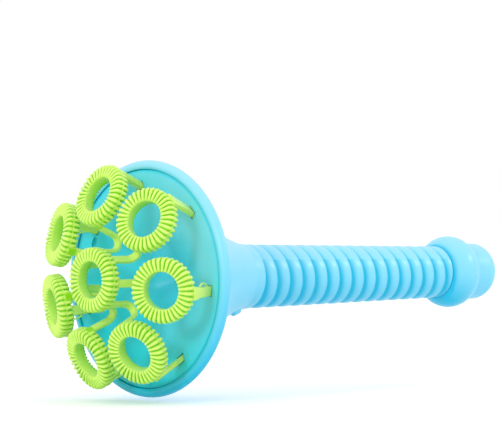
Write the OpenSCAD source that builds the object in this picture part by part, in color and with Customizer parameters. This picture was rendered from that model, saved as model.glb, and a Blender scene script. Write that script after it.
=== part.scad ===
// Hand-held bubble horn: a flared bell, a spiral grip tube and a ball mouthpiece on one axis, with a
// shallow dish in the bell and a domed head of eight ribbed film rings clipped into the dish.
// The axis lies along X. The bell opens towards -X, and the origin is the centre of the mouth opening.
// Lengths along the axis are counted from the front of the rim towards the mouth.

/* [Bell] */
// Largest diameter of the bell, across the rim bead
bell_d = 130; // [120:1:140]
// Radius of the rounded bead that runs along the rim
bead_r = 3.2; // [2.6:0.1:3.8]
// Step down from the bead to the dish inside the rim
bead_step = 0.45; // [0.2:0.05:0.8]
// Wall thickness of the flare
bell_wall = 3; // [2.6:0.1:3.6]
// Length of the bell, from the front of the rim to the end of the neck
bell_len = 74.5; // [68:0.5:82]
// Distance behind the dish of the point that the flare curve bends towards
flare_bend_depth = 1.5; // [1:0.1:4]
// Distance from the axis of the point that the flare curve bends towards
flare_bend_r = 31; // [28:0.5:34]
// Diameter of the smooth neck behind the flare
neck_d = 36.4; // [34:0.2:39]
// Length of the bell's spigot inside the grip tube
spigot_len = 16; // [10:1:22]
// Wall thickness of the spigot
spigot_wall = 1.4; // [1.2:0.1:2]

/* [Dish] */
// Wall thickness of the dish, along the axis
dish_wall = 2.2; // [1.8:0.1:2.6]
// Slope of the dish at its edge, from the plane of the rim
dish_edge_slope = 5; // [2:0.5:8]
// Depth of the dish from its edge to its air hole
dish_drop = 25; // [18:0.5:28]
// Diameter of the air hole in the middle of the dish
dish_hole_d = 11; // [8:0.5:14]

/* [Lug] */
// Length of the small round-ended lug under the neck
lug_len = 8; // [6:0.5:9]
// Width of the lug
lug_w = 4.6; // [3.6:0.2:5]
// How far the lug's rear end stands out from the neck
lug_rise = 3.6; // [3.4:0.1:4.4]
// Distance from the end of the neck to the lug
lug_setback = 8.5; // [6:0.5:10]
// Slope of the lug along the flare
lug_slope = 17; // [14:1:20]
// Angle of the lug from straight down, towards the -Y side
lug_angle = 18; // [-30:1:30]

/* [Grip tube] */
// Length of the grip tube
grip_len = 156; // [130:1:180]
// Diameter over the spiral at the mouth end
grip_end_d = 30.8; // [29:0.2:33]
// Distance from one turn of the spiral groove to the next
groove_pitch = 10; // [8:0.5:13]
// Depth of the spiral groove
groove_depth = 1; // [0.6:0.1:1.4]
// Wall thickness under the groove
grip_wall = 2.2; // [1.8:0.1:2.6]
// Distance from the neck back to the first groove on the -Y side
groove_start = 0.7; // [0:0.1:3]

/* [Mouthpiece] */
// Diameter of the ball
ball_d = 42.6; // [40:0.2:46]
// Radius of the ball's rounded side
ball_side_r = 14; // [12:0.5:16]
// Distance from the grip tube to the widest part of the ball
ball_depth = 11.4; // [10.5:0.1:12.5]
// Diameter of the nose
nose_d = 33.6; // [30:0.2:36]
// Distance from the widest part of the ball to the mouth end
nose_len = 30.8; // [27:0.2:34]
// Radius of the rounding at the mouth end
nose_round_r = 11; // [7:0.5:11.5]
// Diameter of the mouth opening
mouth_d = 10; // [8:0.5:11.5]
// Length of the mouth opening's straight bore
mouth_len = 24; // [16:1:30]
// Length of the plug inside the grip tube
plug_len = 16; // [10:1:22]
// Wall thickness of the plug
plug_wall = 1.8; // [1.4:0.1:2.4]

/* [Film rings] */
// Outer diameter of a film ring
ring_d = 35.6; // [32:0.2:37]
// Diameter of the hole in a film ring
ring_hole_d = 20; // [17:0.5:22]
// Thickness of a film ring
ring_thick = 8.6; // [7:0.2:10]
// Number of ribs on each face of a ring
rib_count = 36; // [24:2:40]
// Height of the ribs
rib_rise = 1; // [0.6:0.1:1.3]
// Gap between neighbouring outer rings
ring_gap = 3.8; // [2.4:0.2:5]
// Radius of the dome that the rings lie on
dome_r = 110; // [90:1:140]
// Distance from the rim forward to the middle of the centre ring
dome_rise = 35.5; // [30:0.5:42]
// Angle of the first outer ring below the -Y side
ring_phase = 6.4; // [-25:0.2:25]

/* [Legs and links] */
// Width of the leg behind each outer ring
leg_w = 5.4; // [4:0.2:7]
// Thickness of the leg
leg_t = 3; // [2.4:0.1:3.6]
// Distance from a ring's outer edge in to the middle of its leg
leg_inset = 0.8; // [0.4:0.1:2.3]
// Distance from the dish's edge in to the outer face of each leg
leg_edge = 6.8; // [5:0.2:9]
// Depth of the leg in its slot in the dish
leg_seat = 1.7; // [1:0.1:2]
// Width of the U-shaped link between an outer ring and the centre ring
link_w = 4.4; // [3:0.2:6]
// Thickness of the link
link_t = 2.2; // [1.6:0.1:2.8]
// Bend radius of the link, at the middle of its thickness
link_bend_r = 4.5; // [3.6:0.1:5]
// Distance from the centre ring's outer edge in to the link's end
link_seat_inset = 2.3; // [1.8:0.1:3.4]
// Distance from an outer ring's outer edge in to the middle of its link
link_inset = 1; // [0.6:0.1:2.2]
// Depth of the link's end in the centre ring
link_seat = 2.4; // [1.5:0.1:3]

/* [Fits] */
// Clearance around the edge of the dish in the bell
dish_fit = 0.1; // [0.05:0.01:0.2]
// Radial clearance where the bell's spigot sits in the grip tube
spigot_fit = 0.04; // [0.01:0.01:0.08]
// Radial clearance where the mouthpiece's plug slides in the grip tube
plug_fit = 0.08; // [0.03:0.01:0.1]
// Gap at the seam between the mouthpiece and the grip tube
seam_gap = 0.3; // [0.2:0.05:0.5]
// Clearance around a leg in its slot
leg_fit = 0.3; // [0.2:0.05:0.5]
// Clearance around a link's end in the centre ring
link_fit = 0.03; // [0.01:0.01:0.08]

/* [Hidden] */
$fn = 96;
// Overlap where two shapes of one piece join, and where a cut runs out of a face
lap = 0.05;

// Positions along the axis
grip_start = bell_len;
grip_end = grip_start + grip_len;
ball_middle = grip_end + ball_depth;
mouth_end = ball_middle + nose_len;

// Radii of the tube fits
grip_start_r = neck_d / 2;
grip_end_r = grip_end_d / 2;
spigot_socket_r = grip_start_r - groove_depth - grip_wall;
plug_socket_r = grip_end_r - groove_depth - grip_wall;
spigot_r = spigot_socket_r - spigot_fit;
throat_r = spigot_r - spigot_wall;
plug_r = plug_socket_r - plug_fit;
plug_bore_r = plug_r - plug_wall;

// The dish's seat inside the bead. The seat meets the bead at an angle from the plane of the rim, seen from
// the bead's middle.
bead_meets = 60;
bead_middle_r = bell_d / 2 - bead_r;
seat_r = bead_middle_r - bead_r * cos(bead_meets);
dish_depth = bead_r - bead_r * sin(bead_meets) + bead_step;
dish_r = seat_r - dish_fit;
dish_hole_r = dish_hole_d / 2;
dish_reach = dish_r - dish_hole_r;
dish_rise = tan(dish_edge_slope);
dish_bow = (dish_drop / dish_reach - dish_rise) / dish_reach;
dish_step_count = 16;

// Depth behind the rim of the dish's front face, at a distance from the axis
function dish_front(r) = dish_depth + dish_rise * (dish_r - r) + dish_bow * pow(dish_r - r, 2);

// Flare curve behind the dish, as points of distance from the axis and depth behind the rim
flare_throat = [throat_r, bell_len];
flare_bend = [flare_bend_r, dish_front(flare_bend_r) + dish_wall + flare_bend_depth];
flare_rim = [seat_r, dish_depth + dish_wall + dish_fit];
flare_step_count = 24;

function flare(t) =
    (1 - t) * (1 - t) * flare_throat + 2 * t * (1 - t) * flare_bend + t * t * flare_rim;
function flare_tangent(t) = (1 - t) * (flare_bend - flare_throat) + t * (flare_rim - flare_bend);
function flare_normal(t) =
    let (d = flare_tangent(t) / norm(flare_tangent(t)))
    [-d[1], d[0]] * (d[1] > 0 ? -1 : 1);
function flare_back(t) = flare(t) + bell_wall * flare_normal(t);

// Ring places
ring_middle_r = (ring_d + ring_hole_d) / 4;
ring_half_w = (ring_d - ring_hole_d) / 4;
ring_count = 7;
ring_step = 360 / ring_count;
ring_place_r = (ring_d + ring_gap) / 2 / sin(ring_step / 2);
ring_tilt = asin(ring_place_r / dome_r);
ring_place_s = -dome_rise + dome_r * (1 - cos(ring_tilt));
ring_out = [cos(ring_tilt), sin(ring_tilt)];
ring_back = [-sin(ring_tilt), cos(ring_tilt)];

// Section of a ring, and the share of its inner half that the ribs run over
ring_side_count = 10;
ring_corner = 360 / ring_side_count;
rib_reach = 0.6;

// Where a line from a point, in a direction, meets the dish
function on_dish(foot, along) =
    let (
        a = dish_bow * along[0] * along[0],
        b = along[1] + along[0] * (dish_rise + 2 * dish_bow * (dish_r - foot[0])),
        c = dish_front(foot[0]) - foot[1]
    )
    foot + 2 * c / (b + sqrt(b * b - 4 * a * c)) * along;

// Where the leg's outer and inner faces start on the ring, meet the dish and end in its slot
leg_outer_foot = [ring_place_r, ring_place_s] + (ring_d / 2 - leg_inset + leg_t / 2) * ring_out;
leg_outer_hit = [dish_r - leg_edge, dish_front(dish_r - leg_edge)];
leg_along = (leg_outer_hit - leg_outer_foot) / norm(leg_outer_hit - leg_outer_foot);
leg_inner_foot = leg_outer_foot - leg_t * [leg_along[1], -leg_along[0]];
leg_inner_hit = on_dish(leg_inner_foot, leg_along);
leg_outer_tip = leg_outer_hit + leg_seat * leg_along;
leg_inner_tip = leg_inner_hit + leg_seat * leg_along;

// The link's outer leg, bend and inner leg
link_offset = ring_d / 2 - link_inset;
link_seat_r = ring_d / 2 - link_seat_inset;
link_foot = [ring_place_r, ring_place_s] - link_offset * ring_out;
link_len = (link_foot[0] - link_seat_r - link_bend_r * (1 + cos(ring_tilt))) / sin(ring_tilt);
link_bend = link_foot + link_len * ring_back - link_bend_r * ring_out;
centre_ring_back = -dome_rise + ring_thick / 2;
link_end = centre_ring_back - link_seat;

// Spiral groove
groove_side_count = 24;
groove_point_count = 6;
groove_sharpness = 4;
groove_spare_turn_count = 2;
clip_d = 2 * max(neck_d, grip_end_d);
groove_turn_count = ceil(grip_len / groove_pitch) + 2 * groove_spare_turn_count;

BLUE = [0.52, 0.85, 0.97];
LIME = [0.66, 0.90, 0.16];

// Lays a piece that is drawn along Z, from the rim, on the X axis with the mouth at the origin
module on_axis() {
    translate([-mouth_end, 0, 0])
        rotate([0, 90, 0])
            children();
}

// Turns a piece to the place of one outer ring around the axis
module at_ring(index) {
    rotate([0, 0, ring_phase - 90 + index * ring_step])
        children();
}

// Puts a piece in the plane of an outer ring, X outwards and Z backwards
module in_ring_plane() {
    translate([ring_place_r, 0, ring_place_s])
        rotate([0, -ring_tilt, 0])
            children();
}

// Half section of the bell: bead, seat of the dish, flare, neck and spigot
module bell_section() {
    inside = [for (i = [0 : flare_step_count]) flare(i / flare_step_count)];
    back = [
        for (i = [flare_step_count : -1 : 0])
            let (p = flare_back(i / flare_step_count))
                if (p[0] > neck_d / 2) p
    ];
    polygon(concat(
        [[throat_r, bell_len + spigot_len]],
        inside,
        [[seat_r, dish_depth]],
        [[bead_middle_r, bead_r]],
        back,
        [[neck_d / 2, bell_len]],
        [[spigot_r, bell_len]],
        [[spigot_r, bell_len + spigot_len]]
    ));
    intersection() {
        translate([bead_middle_r, bead_r])
            circle(r = bead_r);
        translate([seat_r, 0])
            square(2 * bead_r);
    }
}

// Plate of a width across, whose outline lies in the plane of the axis and a ring's middle
module radial_plate(width) {
    translate([0, width / 2, 0])
        rotate([90, 0, 0])
            linear_extrude(width)
                children();
}

// Slot in the dish that takes a leg's tip and lets it out straight forwards
module leg_slot() {
    inner = min(leg_inner_hit[0], leg_inner_tip[0]) - leg_fit;
    outer = max(leg_outer_hit[0], leg_outer_tip[0]) + leg_fit;
    front = leg_outer_hit[1] - dish_wall;
    back = leg_inner_hit[1] + 2 * dish_wall;
    radial_plate(leg_w + 2 * leg_fit)
        translate([inner, front])
            square([outer - inner, back - front]);
}

// Half section of the dish, from its edge to its air hole and back
module dish_section() {
    front = [
        for (i = [0 : dish_step_count])
            let (r = dish_r - dish_reach * i / dish_step_count)
                [r, dish_front(r)]
    ];
    back = [
        for (i = [dish_step_count : -1 : 0])
            front[i] + [0, dish_wall]
    ];
    polygon(concat(front, back));
}

module lug() {
    end_r = lug_w / 2;
    rotate([0, 0, -lug_angle])
        translate([neck_d / 2 + lug_rise - end_r, 0, bell_len - lug_setback - end_r])
            rotate([0, -lug_slope, 0]) {
                sphere(r = end_r);
                translate([0, 0, lug_w - lug_len]) {
                    cylinder(r = end_r, h = lug_len - lug_w);
                    sphere(r = end_r);
                }
            }
}

module bell() {
    color(BLUE) on_axis() {
        rotate_extrude() bell_section();
        lug();
    }
}

module bell_dish() {
    color(BLUE) on_axis() {
        difference() {
            rotate_extrude() dish_section();
            for (i = [0 : ring_count - 1]) at_ring(i) leg_slot();
        }
    }
}

// Radius over the spiral at a distance behind the rim
function grip_r(s) = grip_start_r + (grip_end_r - grip_start_r) * (s - grip_start) / grip_len;

// Point of the spiral surface: step i along the groove and share j of the pitch from the groove's middle
function spiral_point(i, j) =
    let (
        a = 360 * i / groove_side_count,
        s = grip_start + groove_start + groove_pitch * (i / groove_side_count + j - groove_spare_turn_count),
        r = grip_r(s) - groove_depth * pow(cos(180 * j), groove_sharpness)
    )
    [r * sin(a), -r * cos(a), s];

// Solid bar with the spiral groove, longer than the grip at both ends
module spiral_bar() {
    m = groove_point_count;
    n = groove_side_count;
    last = groove_turn_count * n;
    grid = [
        for (i = [0 : last])
            for (j = [0 : m - 1])
                spiral_point(i, j / m)
    ];
    low = [0, 0, spiral_point(0, 0)[2]];
    high = [0, 0, spiral_point(last, 1)[2]];
    low_id = len(grid);
    high_id = low_id + 1;
    within = [
        for (i = [0 : last - 1])
            for (j = [0 : m - 2])
                let (p = i * m + j)
                    each [[p, p + 1, p + m + 1], [p, p + m + 1, p + m]]
    ];
    between = [
        for (i = [0 : last - n - 1])
            let (p = i * m + m - 1, q = (i + n) * m)
                each [[p, q, q + m], [p, q + m, p + m]]
    ];
    low_turn = [for (i = [0 : n - 1]) [low_id, i * m, (i + 1) * m]];
    low_step = [
        [low_id, n * m, m - 1],
        for (j = [m - 1 : -1 : 1]) [low_id, j, j - 1]
    ];
    high_turn = [for (i = [last - n : last - 1]) [high_id, (i + 1) * m + m - 1, i * m + m - 1]];
    high_step = [
        [high_id, (last - n) * m + m - 1, last * m],
        for (j = [0 : m - 2]) [high_id, last * m + j, last * m + j + 1]
    ];
    polyhedron(
        points = concat(grid, [low, high]),
        faces = concat(within, between, low_turn, low_step, high_turn, high_step)
    );
}

// Half section of the space inside the grip tube: spigot socket, tapered bore and plug socket
module grip_bore_section() {
    spigot_stop = grip_start + spigot_len + seam_gap;
    plug_stop = grip_end - plug_len - seam_gap;
    polygon([
        [0, grip_start - groove_pitch],
        [spigot_socket_r, grip_start - groove_pitch],
        [spigot_socket_r, spigot_stop],
        [spigot_socket_r - spigot_wall, spigot_stop],
        [plug_bore_r, plug_stop],
        [plug_socket_r, plug_stop],
        [plug_socket_r, grip_end + groove_pitch],
        [0, grip_end + groove_pitch]
    ]);
}

module grip_tube() {
    color(BLUE) on_axis() {
        difference() {
            intersection() {
                spiral_bar();
                translate([0, 0, grip_start])
                    cylinder(d = clip_d, h = grip_len);
            }
            rotate_extrude() grip_bore_section();
        }
    }
}

// Half section of the mouthpiece: plug, ball, nose and mouth bore
module mouthpiece_section() {
    difference() {
        union() {
            intersection() {
                union() {
                    translate([ball_d / 2 - ball_side_r, ball_middle])
                        circle(r = ball_side_r);
                    translate([nose_d / 2 - nose_round_r, mouth_end - nose_round_r])
                        circle(r = nose_round_r);
                    translate([0, ball_middle])
                        square([nose_d / 2, nose_len - nose_round_r]);
                    translate([0, ball_middle])
                        square([nose_d / 2 - nose_round_r, nose_len]);
                }
                translate([0, grip_end + seam_gap])
                    square([ball_d, mouth_end - grip_end - seam_gap]);
            }
            translate([0, grip_end - plug_len])
                square([plug_r, plug_len + ball_depth]);
        }
        square([mouth_d / 2, mouth_end + lap]);
        square([plug_bore_r, mouth_end - mouth_len]);
    }
}

module mouthpiece() {
    color(BLUE) on_axis() rotate_extrude() mouthpiece_section();
}

function limited(x) = max(-1, min(1, x));

// Point of a ribbed ring, whose section is a block with cut corners. Even places around it are the ribs
// and odd places the valleys, and the ribs meet in a band along the middle of the outer edge.
function ring_point(place, side) =
    let (
        turn = 180 * place / rib_count,
        a = ring_corner * side,
        across = limited(cos(a) / cos(ring_corner)),
        along = limited(sin(a) / sin(2 * ring_corner)),
        valley = side == 0 ? 0 : (place % 2) * max(0, limited(across + rib_reach)),
        r = ring_middle_r + (ring_half_w - valley * rib_rise) * across,
        z = (ring_thick / 2 - valley * rib_rise) * along
    )
    [r * cos(turn), r * sin(turn), z];

module ribbed_ring() {
    places = 2 * rib_count;
    points = [
        for (i = [0 : places - 1])
            for (k = [0 : ring_side_count - 1])
                ring_point(i, k)
    ];
    faces = [
        for (i = [0 : places - 1])
            for (k = [0 : ring_side_count - 1])
                let (
                    p = i * ring_side_count + k,
                    q = i * ring_side_count + (k + 1) % ring_side_count,
                    p2 = (i + 1) % places * ring_side_count + k,
                    q2 = (i + 1) % places * ring_side_count + (k + 1) % ring_side_count
                )
                    each [[p, q, q2], [p, q2, p2]]
    ];
    polyhedron(points = points, faces = faces);
}

module leg() {
    radial_plate(leg_w)
        polygon([leg_inner_foot, leg_inner_tip, leg_outer_tip, leg_outer_foot]);
}

// U-shaped strip: back from the outer ring, round the bend and forward into the centre ring
module link(fit = 0) {
    thick = link_t + 2 * fit;
    wide = link_w + 2 * fit;
    in_ring_plane()
        translate([-link_offset - thick / 2, -wide / 2, 0])
            cube([thick, wide, link_len + lap]);
    translate([link_bend[0], 0, link_bend[1]])
        rotate([90, 0, 0])
            rotate([0, 0, ring_tilt])
                rotate_extrude(angle = 180 - ring_tilt)
                    translate([link_bend_r - thick / 2, -wide / 2])
                        square([thick, wide]);
    translate([link_seat_r - thick / 2, -wide / 2, link_end - fit])
        cube([thick, wide, link_bend[1] - link_end + fit + lap]);
}

module centre_ring() {
    color(LIME) on_axis() {
        difference() {
            translate([0, 0, -dome_rise]) ribbed_ring();
            for (i = [0 : ring_count - 1]) at_ring(i) link(link_fit);
        }
    }
}

module outer_ring(index) {
    color(LIME) on_axis() at_ring(index - 1) {
        in_ring_plane() ribbed_ring();
        leg();
        link();
    }
}

bell();
bell_dish();
grip_tube();
mouthpiece();
centre_ring();
outer_ring(1);  // outer_ring_1
outer_ring(2);  // outer_ring_2
outer_ring(3);  // outer_ring_3
outer_ring(4);  // outer_ring_4
outer_ring(5);  // outer_ring_5
outer_ring(6);  // outer_ring_6
outer_ring(7);  // outer_ring_7
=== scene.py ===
import math

import bmesh
import bpy
import numpy as np
from mathutils import Matrix, Vector


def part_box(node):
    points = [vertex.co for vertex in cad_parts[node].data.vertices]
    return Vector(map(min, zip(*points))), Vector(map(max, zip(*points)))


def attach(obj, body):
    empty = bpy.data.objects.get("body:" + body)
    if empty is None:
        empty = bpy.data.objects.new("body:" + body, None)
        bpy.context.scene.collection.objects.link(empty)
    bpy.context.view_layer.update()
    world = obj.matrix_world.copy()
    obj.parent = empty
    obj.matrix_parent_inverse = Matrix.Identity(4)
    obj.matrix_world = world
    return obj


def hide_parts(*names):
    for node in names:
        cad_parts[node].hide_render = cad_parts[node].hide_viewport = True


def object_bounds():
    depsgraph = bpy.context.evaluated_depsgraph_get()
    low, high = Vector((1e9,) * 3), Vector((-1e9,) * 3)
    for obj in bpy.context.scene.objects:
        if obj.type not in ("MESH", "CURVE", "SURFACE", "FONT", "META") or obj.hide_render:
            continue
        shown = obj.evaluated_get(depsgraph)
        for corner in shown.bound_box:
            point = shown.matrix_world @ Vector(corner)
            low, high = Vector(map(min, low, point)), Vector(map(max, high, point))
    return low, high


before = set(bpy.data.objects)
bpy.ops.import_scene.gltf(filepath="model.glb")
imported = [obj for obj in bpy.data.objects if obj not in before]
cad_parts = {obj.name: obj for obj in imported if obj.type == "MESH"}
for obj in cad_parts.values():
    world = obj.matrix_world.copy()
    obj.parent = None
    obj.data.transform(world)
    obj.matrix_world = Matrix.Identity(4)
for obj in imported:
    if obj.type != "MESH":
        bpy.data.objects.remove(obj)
cad_low, cad_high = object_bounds()

# Lengths are in millimetres. A radius is taken from the axis, and a place lies behind the front of the rim.
MM = 0.001
RIM_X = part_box("bell")[0].x

# Bell
BELL_R = 65.0
BELL_LEN = 74.5
BELL_WALL = 3.0
BEAD_R = 3.2
BEAD_SPAN = (-120, 140)
SEAT_R = 60.2
FLARE_BEND_R = 31.0
FLARE_BEND_DEPTH = 1.5
FLARE_BACK_SPAN = (0.955, 0.06)
NECK_R = 18.2
NECK_BLEND = 0.8
NECK_EDGE = 0.4
SPIGOT_R = 14.96
SPIGOT_WALL = 1.4
SPIGOT_LEN = 16.0

# Dish in the bell, with a small slit beside one of its slots
DISH_R = 60.18
DISH_DEPTH = 0.88
DISH_WALL = 2.2
DISH_EDGE_SLOPE = 5.0
DISH_DROP = 25.0
DISH_HOLE_R = 5.5
DISH_LIP_R = 4.4
DISH_EDGE = 1.2
SLIT_R = 49.5
SLIT_ANGLE = -156.3
SLIT_HALF = (1.6, 1.3, 3.0)

# Lug under the neck
LUG_LEN = 8.0
LUG_W = 4.6
LUG_RISE = 3.6
LUG_SETBACK = 8.5
LUG_SLOPE = 17.0
LUG_ANGLE = 18.0

# Grip tube, whose groove is steep on the bell's side, easy on the other and shallower above the parting line
GRIP_LEN = 156.0
GRIP_END_R = 15.4
GRIP_EDGE = 0.5
GROOVE_PITCH = 10.0
GROOVE_START = 0.7
GROOVE_DEPTH = 1.6
GROOVE_UPPER_DEPTH = 1.15
GROOVE_STEEP = 0.12
GROOVE_EASY = 0.24
PARTING_ANGLE = -32.0
SPIGOT_SOCKET_R = 15.0
PLUG_SOCKET_R = 12.2

# Mouthpiece
BALL_R = 21.3
BALL_SIDE_R = 14.0
BALL_DEPTH = 11.4
NOSE_R = 16.8
NOSE_LEN = 30.8
WAIST_R = 3.0
MOUTH_R = 5.0
MOUTH_EDGE = 0.8
MOUTH_LEN = 24.0
PLUG_LEN = 16.0
PLUG_R = 12.12
PLUG_BORE_R = 10.32
PLUG_CHAMFER = 0.4
SEAM_GAP = 0.3

# Film rings. A section has valleys and crests, each with a bore, a face, rounded edges and a band outside.
RING_R = 17.8
RING_HOLE_R = 10.0
RING_THICK = 8.6
RING_COUNT = 7
RING_GAP = 3.8
RING_PHASE = 6.4
RIB_COUNT = 36
RIB_RISE = 1.3
RIB_HALF = 0.4
RIB_STEPS = np.array([-0.5, -0.44, -0.4, -0.35, -0.2, 0, 0.2, 0.35, 0.4, 0.44])
BORE_HALF = 2.0
VALLEY_ROUNDS = (0.9, 1.7)
VALLEY_FACE = (1.6, 2.2)
VALLEY_BAND = (RIB_RISE, RIB_RISE, 0.3, 0.2)
CREST_ROUNDS = (1.5, 2.5)
CREST_FACE = (2.0, 2.9)
CREST_BAND = (0.0, 0.1, 0.3, 0.2)
BAND_HEIGHTS = (1.1, 0.75, 0.45, 0.0)
DOME_R = 110.0
DOME_RISE = 35.5

# Legs, with a thin arch on one edge, and links
STRIP_EDGE = 0.55
LEG_W = 5.4
LEG_T = 3.0
LEG_INSET = 0.8
LEG_SEAT = 1.7
LEG_FIT = 0.3
LEG_SPREAD = 1.6
LEG_SPREAD_REACH = 2.0
ARCH_PLACE = 0.52
ARCH_LONG = 4.4
ARCH_HIGH = 2.0
ARCH_R = 0.5
ARCH_END = 12
LINK_W = 4.4
LINK_T = 2.2
LINK_BEND_R = 4.5
LINK_INSET = 1.0
LINK_SEAT_INSET = 2.3
LINK_SEAT = 2.4

# Painted shade of the hollows, seams, bead and ball's underside, from 0 on open faces to 1 in the deepest
# ones, and how far each fades
SEAM_FADE = 1.1
SEAT_MARGIN = 0.1
SLIT_MARGIN = 1.05
GROOVE_UPPER_WIDTH = 0.5
BEAD_SHADE = 0.18
BEAD_SEAM_SHADE = 0.6
BALL_SEAM_FADE = 2.2
BALL_UNDER_SHADE = 0.7
BALL_UNDER_POWER = 1.5
RIB_FADE = 2.5
RIB_TOP = 0.2
BORE_SHADE = 0.8
BORE_FADE = 1.0

# Fineness of the meshes
BELL_SEGMENTS = 256
GRIP_SEGMENTS = 180
GRIP_ROWS = 312
MOUTHPIECE_SEGMENTS = 192

# Worked out from the sizes above
THROAT_R = SPIGOT_R - SPIGOT_WALL
DISH_REACH = SEAT_R - DISH_HOLE_R
DISH_RISE = math.tan(math.radians(DISH_EDGE_SLOPE))
DISH_BOW = (DISH_DROP / DISH_REACH - DISH_RISE) / DISH_REACH
GRIP_END = BELL_LEN + GRIP_LEN
BALL_MIDDLE = GRIP_END + BALL_DEPTH
MOUTH_END = BALL_MIDDLE + NOSE_LEN
PLACE_R = (2 * RING_R + RING_GAP) / 2 / math.sin(math.pi / RING_COUNT)
TILT = math.asin(PLACE_R / DOME_R)
PLACE_S = -DOME_RISE + DOME_R * (1 - math.cos(TILT))
PLACE = np.array([PLACE_R, PLACE_S])
OUT = np.array([math.cos(TILT), math.sin(TILT)])
BACK = np.array([-math.sin(TILT), math.cos(TILT)])


# Curves in the half plane of radius and place

def arc(middle, radius, start, end, count):
    """Points of an arc, with angles in degrees from the radius towards the mouth."""
    angles = np.radians(np.linspace(start, end, count))
    return np.stack([middle[0] + radius * np.cos(angles), middle[1] + radius * np.sin(angles)], 1)


def run(start, end, count):
    """Evenly spaced points of a straight run, both ends included."""
    share = np.linspace(0, 1, count)[:, None]
    return np.asarray(start) * (1 - share) + np.asarray(end) * share


def dish_front(radius):
    """Place of the dish's front face at a radius."""
    return DISH_DEPTH + DISH_RISE * (SEAT_R - radius) + DISH_BOW * (SEAT_R - radius) ** 2


def on_dish(foot):
    """Where a line square to an outer ring, from a point in its plane, meets the dish."""
    a = DISH_BOW * BACK[0] ** 2
    b = BACK[1] + BACK[0] * (DISH_RISE + 2 * DISH_BOW * (SEAT_R - foot[0]))
    c = dish_front(foot[0]) - foot[1]
    return foot + 2 * c / (b + math.sqrt(b * b - 4 * a * c)) * BACK


def flare(t):
    """The flare's inner curve, from the throat at 0 to the rim at 1, and the way out through its wall."""
    t = np.atleast_1d(t)[:, None]
    throat = np.array([THROAT_R, BELL_LEN])
    bend = np.array([FLARE_BEND_R, dish_front(FLARE_BEND_R) + DISH_WALL + FLARE_BEND_DEPTH])
    rim = np.array([SEAT_R, DISH_DEPTH + DISH_WALL + SEAM_GAP])
    point = (1 - t) ** 2 * throat + 2 * t * (1 - t) * bend + t * t * rim
    along = (1 - t) * (bend - throat) + t * (rim - bend)
    along /= np.linalg.norm(along, axis=1)[:, None]
    return point, np.stack([-along[:, 1], along[:, 0]], 1)


# Meshes

def add_object(name, data):
    """A new object in the scene."""
    made = bpy.data.objects.new(name, data)
    bpy.context.scene.collection.objects.link(made)
    return made


def mesh_object(name, points, faces):
    """A new object from points and faces, which are turned outwards."""
    mesh = bpy.data.meshes.new(name)
    mesh.from_pydata([tuple(p) for p in points], [], faces)
    work = bmesh.new()
    work.from_mesh(mesh)
    bmesh.ops.recalc_face_normals(work, faces=work.faces)
    work.to_mesh(mesh)
    work.free()
    return add_object(name, mesh)


def ball_object(name, radius, around, along):
    """A new ball with a number of faces around it and along its Z axis."""
    mesh = bpy.data.meshes.new(name)
    work = bmesh.new()
    bmesh.ops.create_uvsphere(work, u_segments=around, v_segments=along, radius=radius)
    work.to_mesh(mesh)
    work.free()
    return add_object(name, mesh)


def grid_faces(rows, columns, close_rows):
    """Quads of a grid whose columns close on themselves, and whose rows do so where asked."""
    last = rows if close_rows else rows - 1
    faces = []
    for i in range(last):
        k = (i + 1) % rows
        for j in range(columns):
            n = (j + 1) % columns
            faces.append((i * columns + j, i * columns + n, k * columns + n, k * columns + j))
    return faces


def closed_tube(rings):
    """Points and faces of a tube through rings of points, with both ends closed."""
    count = len(rings[0])
    faces = grid_faces(len(rings), count, False)
    faces.append(list(range(count)))
    faces.append([(len(rings) - 1) * count + k for k in range(count)][::-1])
    return np.concatenate(rings), faces


def on_axis(radius, place, angle):
    """World points from radius, place and the angle in radians from the -Y side downwards."""
    x = RIM_X + place * MM + 0 * angle
    return np.stack([x, -radius * np.cos(angle) * MM, -radius * np.sin(angle) * MM], -1)


def around_axis(segments):
    """Evenly spaced angles once around the axis, as one row."""
    return np.linspace(0, 2 * math.pi, segments, endpoint=False)[None, :]


def turned(name, outline, segments):
    """A solid of revolution about the axis from a closed outline."""
    grid = on_axis(outline[:, :1], outline[:, 1:], around_axis(segments))
    return mesh_object(name, grid.reshape(-1, 3), grid_faces(len(outline), segments, True))


def cut_or_join(target, tool, operation):
    """Applies a boolean with another object, which is removed."""
    step = target.modifiers.new(operation.lower(), "BOOLEAN")
    step.operation = operation
    step.solver = "EXACT"
    step.object = tool
    view = bpy.context.evaluated_depsgraph_get()
    made = bpy.data.meshes.new_from_object(target.evaluated_get(view))
    target.modifiers.clear()
    target.data = made
    bpy.data.objects.remove(tool)
    return target


def measured(piece):
    """Each point's radius, place and world position, in millimetres."""
    points = np.array([v.co for v in piece.data.vertices]) / MM
    return np.hypot(points[:, 1], points[:, 2]), points[:, 0] - RIM_X / MM, points


def fading(distance, fade):
    """A shade that falls from 1 to nothing with the distance."""
    return np.exp(-(distance / fade) ** 2)


def mark_painted_shade(piece, shares):
    """Stores each point's painted shade, from 0 to 1, by how deep it lies in a groove, seam or gap, for its
    material to darken its colour by.
    """
    layer = piece.data.attributes.new("hollow_shade", "FLOAT", "POINT")
    layer.data.foreach_set("value", np.clip(shares, 0, 1).astype(np.float32).ravel())
    return piece


def smooth(piece, sharp_angle=40.0):
    """Smooth shading, broken at edges sharper than an angle in degrees."""
    piece.data.polygons.foreach_set("use_smooth", [True] * len(piece.data.polygons))
    piece.data.set_sharp_from_angle(angle=math.radians(sharp_angle))
    return piece


# Places in the ring head

def head_points(points, index):
    """World points from an outer ring's own radius, sideways distance and place."""
    angle = math.radians(RING_PHASE - 90 + index * 360 / RING_COUNT)
    outward = np.array([0, math.sin(angle), -math.cos(angle)])
    sideways = np.array([0, math.cos(angle), math.sin(angle)])
    points = np.asarray(points)
    world = points[:, :1] * outward + points[:, 1:2] * sideways + points[:, 2:] * np.array([1, 0, 0])
    return world * MM + np.array([RIM_X, 0, 0])


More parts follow.
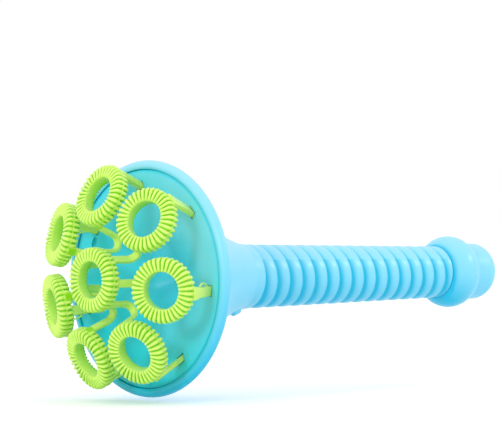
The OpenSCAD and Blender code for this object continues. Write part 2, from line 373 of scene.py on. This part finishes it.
def leg_faces():
    """The leg's inner and outer faces: where each starts in the ring, ends in its slot and meets the dish."""
    inner = RING_R - LEG_INSET - LEG_T / 2
    lines = []
    for offset in (inner, inner + LEG_T):
        foot = PLACE + offset * OUT
        lines.append((foot, on_dish(foot) + LEG_SEAT * BACK, on_dish(foot)))
    return lines


def leg_middle():
    """Both ends of the leg's middle line."""
    inner, outer = leg_faces()
    return (inner[0] + outer[0]) / 2, (inner[1] + outer[1]) / 2


# Bell

def bell_outline():
    inside, _ = flare(np.linspace(0, 1, 70))
    bead = arc((BELL_R - BEAD_R, BEAD_R), BEAD_R, *BEAD_SPAN, 40)
    point, outward = flare(np.linspace(*FLARE_BACK_SPAN, 64))
    back = point + BELL_WALL * outward
    over = back[:, 0] - NECK_R
    back[:, 0] = NECK_R + (over + np.hypot(over, NECK_BLEND)) / 2
    neck = run((back[-1, 0], back[-1, 1] + 1), (NECK_R, BELL_LEN - NECK_EDGE), 4)
    edge = arc((NECK_R - NECK_EDGE, BELL_LEN - NECK_EDGE), NECK_EDGE, 0, 90, 5)
    spigot_end = BELL_LEN + SPIGOT_LEN
    spigot = [(SPIGOT_R, BELL_LEN), (SPIGOT_R, spigot_end), (THROAT_R, spigot_end)]
    return np.concatenate([inside, bead, back, neck, edge[1:], spigot])


def bell_lug():
    """A round-ended bar that lies along the back of the flare."""
    radius = LUG_W / 2
    half = (LUG_LEN - LUG_W) / 2
    lug = ball_object("lug", radius, 32, 24)
    for v in lug.data.vertices:
        v.co.z += math.copysign(half, v.co.z) if abs(v.co.z) > 1e-6 else half
    slope = math.radians(LUG_SLOPE)
    rear = np.array([NECK_R + LUG_RISE - radius, BELL_LEN - LUG_SETBACK - radius])
    middle = rear + half * np.array([math.sin(slope), -math.cos(slope)])
    turn = math.radians(90 - LUG_ANGLE)
    place = Vector(on_axis(middle[0], middle[1], np.array(turn)))
    outward = Vector((0, -math.cos(turn), -math.sin(turn)))
    along = Vector((-math.cos(slope), 0, 0)) + outward * math.sin(slope)
    lug.data.transform(Matrix.Scale(MM, 4))
    lug.data.transform(Matrix.Translation(place) @ along.to_track_quat("Z", "Y").to_matrix().to_4x4())
    return lug


def make_bell():
    bell = cut_or_join(turned("bell_flare", bell_outline(), BELL_SEGMENTS), bell_lug(), "UNION")
    radius, place, _ = measured(bell)
    on_bead = (radius > SEAT_R - SEAT_MARGIN) & (place < 2 * BEAD_R)
    # Painted shade: the bead is darkened all over and more along its seam with the dish
    shade = BEAD_SHADE + BEAD_SEAM_SHADE * fading(radius - SEAT_R, SEAM_FADE)
    return smooth(mark_painted_shade(bell, on_bead * shade))


# Dish

def dish_outline():
    lip = DISH_WALL / 2
    lip_r = DISH_LIP_R + lip
    radii = np.linspace(lip_r, DISH_R - DISH_EDGE, 48)
    front = np.stack([radii, dish_front(radii)], 1)
    edge = arc((DISH_R - DISH_EDGE, dish_front(DISH_R) + DISH_EDGE), DISH_EDGE, -85, 0, 6)
    back_radii = np.append(DISH_R, radii[::-1])
    back = np.stack([back_radii, dish_front(back_radii) + DISH_WALL], 1)
    round_lip = arc((lip_r, dish_front(lip_r) + lip), lip, 90, 270, 12)
    return np.concatenate([front, edge, back, round_lip[1:-1]])


def leg_slots():
    """The blocks that cut the slots for the legs."""
    (_, inner_tip, inner_hit), (_, _, outer_hit) = leg_faces()
    inner, outer = inner_tip[0] - LEG_FIT, outer_hit[0] + LEG_FIT
    front, back = outer_hit[1] - DISH_WALL, inner_hit[1] + 2 * DISH_WALL
    outline = [(inner, front), (inner, back), (outer, back), (outer, front)]
    half = LEG_W / 2 + LEG_FIT
    points, faces = [], []
    for index in range(RING_COUNT):
        first = len(points)
        block = [(r, side * half, s) for side in (-1, 1) for r, s in outline]
        points.extend(head_points(block, index))
        faces.append([first + k for k in range(4)])
        faces.append([first + 7 - k for k in range(4)])
        for k in range(4):
            n = (k + 1) % 4
            faces.append([first + k, first + n, first + 4 + n, first + 4 + k])
    return mesh_object("slots", points, faces)


def dish_slit():
    """A small pointed recess in the front of the dish."""
    slit = ball_object("slit", 1, 24, 16)
    turn = math.radians(SLIT_ANGLE)
    place = Vector(on_axis(SLIT_R, dish_front(SLIT_R), np.array(turn)))
    axes = Matrix(((1, 0, 0), (0, -math.cos(turn), math.sin(turn)), (0, -math.sin(turn), -math.cos(turn))))
    size = Matrix.Diagonal([half * MM for half in SLIT_HALF])
    slit.data.transform(Matrix.Translation(place) @ (axes @ size).to_4x4())
    return slit


def make_dish():
    dish = turned("bell_dish_face", dish_outline(), BELL_SEGMENTS)
    cut_or_join(dish, dish_slit(), "DIFFERENCE")
    cut_or_join(dish, leg_slots(), "DIFFERENCE")
    radius, _, points = measured(dish)
    # Painted shade along the dish's seam with the bead and in the slit
    angle = np.arctan2(-points[:, 2], -points[:, 1]) - math.radians(SLIT_ANGLE)
    across, along = radius - SLIT_R, radius * np.sin(angle)
    from_slit = np.hypot(across / SLIT_HALF[1], along / SLIT_HALF[2])
    in_slit = (np.cos(angle) > 0) & (from_slit < SLIT_MARGIN)
    return smooth(mark_painted_shade(dish, fading(DISH_R - radius, SEAM_FADE) + in_slit))


# Grip tube

def groove_share(place, angle, upper_depth, upper_width):
    """How deep a point lies in the spiral groove, from 0 to 1.

    Above the mould's parting line, the groove's depth and width are multiplied by the two values.
    """
    phase = (place - BELL_LEN - GROOVE_START) / GROOVE_PITCH - angle / (2 * math.pi)
    share = phase - np.round(phase)
    below = (angle - math.radians(PARTING_ANGLE)) % (2 * math.pi) < math.pi
    width = np.where(share < 0, GROOVE_STEEP, GROOVE_EASY) * np.where(below, 1, upper_width)
    return np.where(below, 1, upper_depth) * fading(share, width)


def grip_radius(place, angle):
    crest = NECK_R + (GRIP_END_R - NECK_R) * (place - BELL_LEN) / GRIP_LEN
    return crest - GROOVE_DEPTH * groove_share(place, angle, GROOVE_UPPER_DEPTH / GROOVE_DEPTH, 1)


def make_grip():
    angle = around_axis(GRIP_SEGMENTS)
    places = np.linspace(BELL_LEN + GRIP_EDGE, GRIP_END - GRIP_EDGE, GRIP_ROWS)
    rows = []

    def add_row(radius, place):
        rows.append(on_axis(radius + 0 * angle, np.array([[place]]), angle))

    for place in places:
        add_row(grip_radius(place, angle), place)
    for turn in np.radians(np.linspace(0, 90, 5))[1:]:
        place = GRIP_END - GRIP_EDGE * (1 - math.sin(turn))
        add_row(grip_radius(place, angle) - GRIP_EDGE * (1 - math.cos(turn)), place)
    spigot_stop = BELL_LEN + SPIGOT_LEN + SEAM_GAP
    plug_stop = GRIP_END - PLUG_LEN - SEAM_GAP
    add_row(PLUG_SOCKET_R, GRIP_END)
    add_row(PLUG_SOCKET_R, plug_stop)
    add_row(PLUG_BORE_R, plug_stop)
    add_row(SPIGOT_SOCKET_R - SPIGOT_WALL, spigot_stop)
    add_row(SPIGOT_SOCKET_R, spigot_stop)
    add_row(SPIGOT_SOCKET_R, BELL_LEN)
    for turn in np.radians(np.linspace(0, 90, 5))[:-1]:
        place = BELL_LEN + GRIP_EDGE * (1 - math.cos(turn))
        add_row(grip_radius(place, angle) - GRIP_EDGE * (1 - math.sin(turn)), place)
    points = np.concatenate(rows).reshape(-1, 3)
    grip = mesh_object("grip_spiral", points, grid_faces(len(rows), GRIP_SEGMENTS, True))
    # Painted shade in the groove, narrower but full strength above the parting line
    shares = np.zeros((len(rows), GRIP_SEGMENTS))
    shares[:len(places)] = groove_share(places[:, None], angle, 1, GROOVE_UPPER_WIDTH)
    return smooth(mark_painted_shade(grip, shares))


# Mouthpiece

def mouthpiece_outline():
    ball = (BALL_R - BALL_SIDE_R, BALL_MIDDLE)
    across = NOSE_R + WAIST_R - ball[0]
    along = math.sqrt((BALL_SIDE_R + WAIST_R) ** 2 - across ** 2)
    waist_angle = math.degrees(math.atan2(along, across))
    seam_angle = -math.degrees(math.asin((BALL_DEPTH - SEAM_GAP) / BALL_SIDE_R))
    mouth_r = MOUTH_R + MOUTH_EDGE
    corner = NOSE_R - mouth_r
    plug_end = GRIP_END - PLUG_LEN
    bore_end = MOUTH_END - MOUTH_LEN
    plug = [(PLUG_BORE_R, plug_end), (PLUG_R - PLUG_CHAMFER, plug_end),
            (PLUG_R, plug_end + PLUG_CHAMFER), (PLUG_R, GRIP_END + SEAM_GAP)]
    side = arc(ball, BALL_SIDE_R, seam_angle, waist_angle, 90)
    waist = arc((NOSE_R + WAIST_R, BALL_MIDDLE + along), WAIST_R, waist_angle - 180, -180, 14)
    front = arc((mouth_r, MOUTH_END - corner), corner, 0, 90, 40)
    mouth = arc((mouth_r, MOUTH_END - MOUTH_EDGE), MOUTH_EDGE, 90, 180, 6)
    bore = [(MOUTH_R, bore_end), (PLUG_BORE_R, bore_end)]
    return np.concatenate([plug, side, waist[1:], front, mouth[1:], bore])


def make_mouthpiece():
    mouthpiece = turned("mouthpiece_ball", mouthpiece_outline(), MOUTHPIECE_SEGMENTS)
    radius, place, points = measured(mouthpiece)
    # Painted shade along the seam with the grip and on the ball's underside beside the grip
    from_grip = place - GRIP_END
    from_seam = np.hypot(from_grip, np.clip(radius - GRIP_END_R, 0, None))
    under = np.clip(-points[:, 2] / BALL_R, 0, 1) ** BALL_UNDER_POWER * fading(from_grip, BALL_DEPTH)
    shade = fading(from_seam, BALL_SEAM_FADE) + BALL_UNDER_SHADE * under
    return smooth(mark_painted_shade(mouthpiece, shade))


# Ring head

def half_section(sunk, rounds, face, band):
    """Half of a ring's section, from the bore's middle over its face to the outer edge's middle."""
    half, outer_r = RING_THICK / 2 - sunk, RING_R - sunk
    bore_round, edge_round = rounds
    return np.concatenate([
        run((RING_HOLE_R, 0), (RING_HOLE_R, BORE_HALF), 3),
        arc((RING_HOLE_R + bore_round, half - bore_round), bore_round, 180, 90, 6),
        run((RING_HOLE_R + face[0], half), (outer_r - face[1], half), 5),
        arc((outer_r - edge_round, half - edge_round), edge_round, 90, 0, 6),
        [(RING_R - inset, height) for inset, height in zip(band, BAND_HEIGHTS)],
    ])


def whole_section(half):
    """A closed section from its upper half, which starts and ends on the middle plane."""
    lower = half[-2:0:-1] * np.array([1, -1])
    return np.concatenate([half, lower])


def ribbed_ring():
    """Points and faces of a ring about its own axis, as distances outwards, sideways and backwards."""
    height = np.sqrt(np.clip(1 - (RIB_STEPS / RIB_HALF) ** 2, 0, None))
    valley = whole_section(half_section(RIB_RISE, VALLEY_ROUNDS, VALLEY_FACE, VALLEY_BAND))
    crest = whole_section(half_section(0, CREST_ROUNDS, CREST_FACE, CREST_BAND))
    turns = (np.arange(RIB_COUNT)[:, None] + RIB_STEPS[None, :]).ravel() * 2 * math.pi / RIB_COUNT
    share = np.tile(height, RIB_COUNT)[:, None, None]
    section = valley[None] * (1 - share) + crest[None] * share
    radius, back = section[..., 0], section[..., 1]
    grid = np.stack([radius * np.cos(turns)[:, None], radius * np.sin(turns)[:, None], back], -1)
    return grid.reshape(-1, 3), grid_faces(len(turns), len(valley), True)


def rounded_section(width, thickness, radius):
    """Outline of a strip, as sideways and across its thickness, with rounded corners."""
    points = []
    for x, y, start in ((1, 1, 0), (-1, 1, 90), (-1, -1, 180), (1, -1, 270)):
        middle = (x * (width / 2 - radius), y * (thickness / 2 - radius))
        points.append(arc(middle, radius, start, start + 90, 4))
    return np.concatenate(points)


def strip(path, across, widths, thickness):
    """Points and faces of a rounded strip along a path in the half plane of radius and place."""
    rings = []
    for point, normal, width in zip(path, across, widths):
        section = rounded_section(width, thickness, STRIP_EDGE)
        place = point[None] + section[:, 1:] * normal[None]
        rings.append(np.stack([place[:, 0], section[:, 0], place[:, 1]], 1))
    return closed_tube(rings)


def leg_strip():
    """The leg from an outer ring's middle to its slot, a little wider where it leaves the ring."""
    start, end = leg_middle()
    path = run(start, end, 24)
    from_ring = np.clip(np.linalg.norm(path - start, axis=1) - RING_THICK / 2, 0, None)
    widths = LEG_W + LEG_SPREAD * np.exp(-from_ring / LEG_SPREAD_REACH)
    return strip(path, np.tile(OUT, (len(path), 1)), widths, LEG_T)


def leg_arch():
    """The thin arch on one edge of the leg."""
    start, end = leg_middle()
    middle = start + (end - start) * ARCH_PLACE
    around = np.linspace(0, 2 * math.pi, 12, endpoint=False)
    rings = []
    for turn in np.radians(np.linspace(-ARCH_END, 180 + ARCH_END, 25)):
        along = ARCH_LONG * math.cos(turn) + ARCH_R * np.cos(around) * math.cos(turn)
        rise = ARCH_HIGH * math.sin(turn) + ARCH_R * np.cos(around) * math.sin(turn)
        place = middle + along[:, None] * BACK + ARCH_R * np.sin(around)[:, None] * OUT
        rings.append(np.stack([place[:, 0], -LEG_W / 2 - rise, place[:, 1]], 1))
    return closed_tube(rings)


def link_strip():
    """The U-shaped link, back from the outer ring, round its bend and forward into the centre ring."""
    start = PLACE - (RING_R - LINK_INSET) * OUT
    seat_r = RING_R - LINK_SEAT_INSET
    length = (start[0] - seat_r - LINK_BEND_R * (1 + math.cos(TILT))) / math.sin(TILT)
    turn_start = start + length * BACK
    end = np.array([seat_r, -DOME_RISE + RING_THICK / 2 - LINK_SEAT])
    tilt = math.degrees(TILT)
    out_leg = run(start, turn_start, 10)
    bend = arc(turn_start - LINK_BEND_R * OUT, LINK_BEND_R, tilt, 180, 18)
    in_leg = run(bend[-1], end, 8)
    path = np.concatenate([out_leg, bend[1:], in_leg[1:]])
    round_bend = arc((0, 0), 1, tilt, 180, len(bend))
    before = np.tile(OUT, (len(out_leg), 1))
    after = np.tile(round_bend[-1], (len(in_leg) - 1, 1))
    across = np.concatenate([before, round_bend[1:], after])
    return strip(path, across, np.full(len(path), LINK_W), LINK_T)


def outer_ring_mesh():
    """One outer ring with its leg and link, as radius, sideways distance and place."""
    points, faces = ribbed_ring()
    place = PLACE + points[:, :1] * OUT + points[:, 2:] * BACK
    ring = mesh_object("ring", np.stack([place[:, 0], points[:, 1], place[:, 1]], 1), faces)
    for name, shape in (("leg", leg_strip()), ("arch", leg_arch()), ("link", link_strip())):
        ring = cut_or_join(ring, mesh_object(name, *shape), "UNION")
    return ring


def rib_painted_shade(outwards, sideways, backwards):
    """Painted shade of a ring's points, from 0 to 1, by how deep they lie between its ribs or back in its
    bore.
    """
    radius = np.hypot(outwards, sideways)
    turn = np.arctan2(sideways, outwards) * RIB_COUNT / (2 * math.pi)
    from_rib = (turn - np.round(turn)) / RIB_HALF
    depth = 1 - np.sqrt(np.clip(1 - from_rib ** 2, 0, None))
    depth *= np.clip((radius - RING_HOLE_R) / RIB_FADE, 0, 1)
    in_bore = np.clip(1 - (radius - RING_HOLE_R) / BORE_FADE, 0, 1)
    in_bore *= np.clip(0.5 + backwards / RING_THICK, 0, 1)
    between_faces = np.abs(backwards) < RING_THICK / 2 - RIB_TOP * RIB_RISE
    return np.where(between_faces, depth + BORE_SHADE * in_bore, 0)


def make_outer_rings():
    pattern = outer_ring_mesh()
    local = np.array([v.co for v in pattern.data.vertices])
    from_middle = local[:, [0, 2]] - PLACE
    mark_painted_shade(pattern, rib_painted_shade(from_middle @ OUT, local[:, 1], from_middle @ BACK))
    rings = []
    for index in range(RING_COUNT):
        mesh = pattern.data.copy()
        mesh.vertices.foreach_set("co", head_points(local, index).astype(np.float32).ravel())
        mesh.update()
        rings.append(smooth(add_object(f"outer_film_ring_{index + 1}", mesh)))
    bpy.data.objects.remove(pattern)
    return rings


def make_centre_ring():
    points, faces = ribbed_ring()
    place = np.stack([points[:, 0], points[:, 1], points[:, 2] - DOME_RISE], 1)
    ring = mesh_object("centre_film_ring", head_points(place, 0), faces)
    return smooth(mark_painted_shade(ring, rib_painted_shade(*points.T)))


# Materials

# A tone runs from 0 for the deepest colour to 1 for the palest one; the deep colours are painted shade and
# the pale ones painted light
PLAIN_TONE = 0.44
FLOW_TONE = 0.12
FLOW_SCALE = 34
SKIN_SCALE = 900
SKIN_BUMP = 0.08
SKIN_DEPTH = 0.0002
ROUGHNESS = (0.24, 0.38)
PLASTIC_IOR = 1.49
PLASTIC_SPECULAR = 0.4


def shader(name):
    material = bpy.data.materials.new(name)
    material.use_nodes = True
    nodes, links = material.node_tree.nodes, material.node_tree.links
    return material, nodes, links, nodes["Principled BSDF"]


def ramp(nodes, stops):
    node = nodes.new("ShaderNodeValToRGB")
    elements = node.color_ramp.elements
    while len(elements) < len(stops):
        elements.new(0.5)
    for element, (place, colour) in zip(elements, stops):
        element.position = place
        element.color = (*colour, 1)
    return node


def noise(nodes, links, place, scale, detail):
    node = nodes.new("ShaderNodeTexNoise")
    node.inputs["Scale"].default_value = scale
    node.inputs["Detail"].default_value = detail
    links.new(place.outputs["Object"], node.inputs["Vector"])
    return node


def weighted(nodes, links, value, weight, added_to):
    """A node that multiplies a value by a weight and adds it to another value."""
    node = nodes.new("ShaderNodeMath")
    node.operation = "MULTIPLY_ADD"
    node.inputs[1].default_value = weight
    links.new(value, node.inputs[0])
    if isinstance(added_to, float):
        node.inputs[2].default_value = added_to
    else:
        links.new(added_to, node.inputs[2])
    return node.outputs[0]


def parts_of(nodes, links, vector):
    """The X, Y and Z parts of a vector."""
    node = nodes.new("ShaderNodeSeparateXYZ")
    links.new(vector, node.inputs["Vector"])
    return node.outputs


def moulded_plastic(name, tones, tilt, rise, lean, sink):
    """Glossy moulded plastic with faint flow marks and a fine skin, from a list of tones and their colours.

    The tone carries painted light and shade: it grows as a face looks up (tilt), with how high it lies and
    how far towards -Y (rise and lean, per metre), and falls with the painted shade stored with the points
    (sink).
    """
    material, nodes, links, plastic = shader(name)
    place = nodes.new("ShaderNodeTexCoord")
    shape = nodes.new("ShaderNodeNewGeometry")
    hollow_shade = nodes.new("ShaderNodeAttribute")
    hollow_shade.attribute_name = "hollow_shade"
    flow = noise(nodes, links, place, FLOW_SCALE, 3)
    tone = weighted(nodes, links, flow.outputs["Fac"], FLOW_TONE, PLAIN_TONE)
    facing = parts_of(nodes, links, shape.outputs["Normal"])
    lying = parts_of(nodes, links, place.outputs["Object"])
    # Painted light: paler on faces that look up, higher up and towards -Y
    tone = weighted(nodes, links, facing["Z"], tilt, tone)
    tone = weighted(nodes, links, lying["Z"], rise, tone)
    tone = weighted(nodes, links, lying["Y"], -lean, tone)
    # Painted shade: darker by the shade stored with the points
    tone = weighted(nodes, links, hollow_shade.outputs["Fac"], -sink, tone)
    colour = ramp(nodes, tones)
    links.new(tone, colour.inputs["Fac"])
    links.new(colour.outputs["Color"], plastic.inputs["Base Color"])
    skin = noise(nodes, links, place, SKIN_SCALE, 2)
    gloss = nodes.new("ShaderNodeMapRange")
    gloss.inputs["To Min"].default_value, gloss.inputs["To Max"].default_value = ROUGHNESS
    links.new(skin.outputs["Fac"], gloss.inputs["Value"])
    links.new(gloss.outputs["Result"], plastic.inputs["Roughness"])
    bump = nodes.new("ShaderNodeBump")
    bump.inputs["Strength"].default_value = SKIN_BUMP
    bump.inputs["Distance"].default_value = SKIN_DEPTH
    links.new(skin.outputs["Fac"], bump.inputs["Height"])
    links.new(bump.outputs["Normal"], plastic.inputs["Normal"])
    plastic.inputs["IOR"].default_value = PLASTIC_IOR
    plastic.inputs["Specular IOR Level"].default_value = PLASTIC_SPECULAR
    return material


def paint(piece, material):
    piece.data.materials.clear()
    piece.data.materials.append(material)


# Each ramp holds shaded and lit copies of one plastic's colour
HORN = moulded_plastic(
    "horn_plastic",
    tones=[(0, (0.004, 0.53, 0.79)), (0.5, (0.23, 0.71, 0.95)), (1, (0.38, 0.76, 0.96))],
    tilt=0.18,
    rise=5,
    lean=0,
    sink=0.6,
)
# The dish is painted paler towards the top and the -Y side and darker low down
DISH = moulded_plastic(
    "dish_plastic",
    tones=[(0, (0.006, 0.54, 0.70)), (0.29, (0.02, 0.69, 0.92)), (0.67, (0.105, 0.70, 0.95)),
           (1, (0.25, 0.76, 0.98))],
    tilt=0,
    rise=4.5,
    lean=5,
    sink=1,
)
LIME = moulded_plastic(
    "ring_plastic",
    tones=[(0, (0.28, 0.70, 0.016)), (0.5, (0.68, 0.93, 0.18)), (1, (0.74, 0.94, 0.34))],
    tilt=0.15,
    rise=0,
    lean=0,
    sink=0.6,
)


# Pieces in place of the solids

def stand_for(piece, node, body, material):
    paint(piece, material)
    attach(piece, body)
    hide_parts(node)


stand_for(make_bell(), "bell", "horn", HORN)
stand_for(make_dish(), "bell_dish", "horn", DISH)
stand_for(make_grip(), "grip_tube", "horn", HORN)
stand_for(make_mouthpiece(), "mouthpiece", "mouthpiece_body", HORN)
stand_for(make_centre_ring(), "centre_ring", "ring_head", LIME)
for number, ring in enumerate(make_outer_rings(), 1):
    stand_for(ring, f"outer_ring_{number}", "ring_head", LIME)


# Floor and light, in metres

FLOOR_SIZE = 30
FLOOR_DROP = 0.002
FLOOR_GLOW = 0.2
FLOOR_DARK = (0.87, 0.88, 0.89)
FLOOR_LIGHT = (0.91, 0.91, 0.91)
FLOOR_MOTTLE_SCALE = 6
FLOOR_ROUGHNESS = 0.9
FLOOR_SPECULAR = 0.1
WHITE = (1, 1, 1, 1)


def background_share(nodes, links):
    """1 for rays from the camera, a mirror or glass, and 0 for the rays that light the object."""
    path = nodes.new("ShaderNodeLightPath")
    share = path.outputs["Is Camera Ray"]
    for kind in ("Is Glossy Ray", "Is Transmission Ray"):
        either = nodes.new("ShaderNodeMath")
        either.operation = "MAXIMUM"
        links.new(share, either.inputs[0])
        links.new(path.outputs[kind], either.inputs[1])
        share = either.outputs[0]
    return share


def make_floor():
    material, nodes, links, surface = shader("floor")
    place = nodes.new("ShaderNodeTexCoord")
    mottle = noise(nodes, links, place, FLOOR_MOTTLE_SCALE, 2)
    tone = ramp(nodes, [(0, FLOOR_DARK), (1, FLOOR_LIGHT)])
    links.new(mottle.outputs["Fac"], tone.inputs["Fac"])
    links.new(tone.outputs["Color"], surface.inputs["Base Color"])
    surface.inputs["Roughness"].default_value = FLOOR_ROUGHNESS
    surface.inputs["Specular IOR Level"].default_value = FLOOR_SPECULAR
    surface.inputs["Emission Color"].default_value = WHITE
    glow = nodes.new("ShaderNodeMath")
    glow.operation = "MULTIPLY"
    glow.inputs[1].default_value = FLOOR_GLOW
    links.new(background_share(nodes, links), glow.inputs[0])
    links.new(glow.outputs[0], surface.inputs["Emission Strength"])
    bpy.ops.mesh.primitive_plane_add(size=FLOOR_SIZE, location=(0, 0, cad_low.z - FLOOR_DROP))
    floor = bpy.context.active_object
    floor.name = "floor"
    paint(floor, material)


def make_world():
    world = bpy.data.worlds.new("studio")
    world.use_nodes = True
    sky = world.node_tree.nodes["Background"]
    sky.inputs["Color"].default_value = WHITE
    sky.inputs["Strength"].default_value = 1
    bpy.context.scene.world = world


def make_light(name, toward, distance, size, power):
    """A round lamp that looks at the middle of the horn from a direction."""
    data = bpy.data.lights.new(name, "AREA")
    data.shape = "DISK"
    data.size = size
    data.energy = power
    lamp = add_object(name, data)
    aim = (cad_low + cad_high) / 2
    lamp.location = aim + toward.normalized() * distance
    lamp.rotation_euler = (-toward).to_track_quat("-Z", "Y").to_euler()


# Camera, at its place in the photograph

CAMERA_AIM = Vector((-0.1933, 0, 0.0296))
CAMERA_DISTANCE = 1.6953
CAMERA_AZIMUTH = -43.0
CAMERA_ELEVATION = 0.22
CAMERA_ROLL = 0.24
CAMERA_LENS = 216
CAMERA_SENSOR = 36


def make_camera():
    azimuth, elevation = math.radians(CAMERA_AZIMUTH), math.radians(CAMERA_ELEVATION)
    back = Vector((math.sin(azimuth) * math.cos(elevation), -math.cos(azimuth) * math.cos(elevation),
                   math.sin(elevation)))
    data = bpy.data.cameras.new("camera")
    data.sensor_width = CAMERA_SENSOR
    data.lens = CAMERA_LENS
    camera = add_object("camera", data)
    camera.location = CAMERA_AIM + back * CAMERA_DISTANCE
    level = (-back).to_track_quat("-Z", "Y").to_matrix().to_4x4()
    turn = level @ Matrix.Rotation(math.radians(-CAMERA_ROLL), 4, "Z")
    camera.rotation_euler = turn.to_euler()
    bpy.context.scene.camera = camera


make_floor()
make_world()
# As in the photograph, one light throws the rings' shadows on the dish and one glints on the grip's ridges
make_light("key", toward=Vector((-0.91, -0.29, 0.29)), distance=1.6, size=0.3, power=4.5)
make_light("glint", toward=Vector((0.68, -0.55, 0.48)), distance=1.4, size=0.3, power=2.4)
make_camera()
bpy.context.scene.view_settings.view_transform = "Standard"
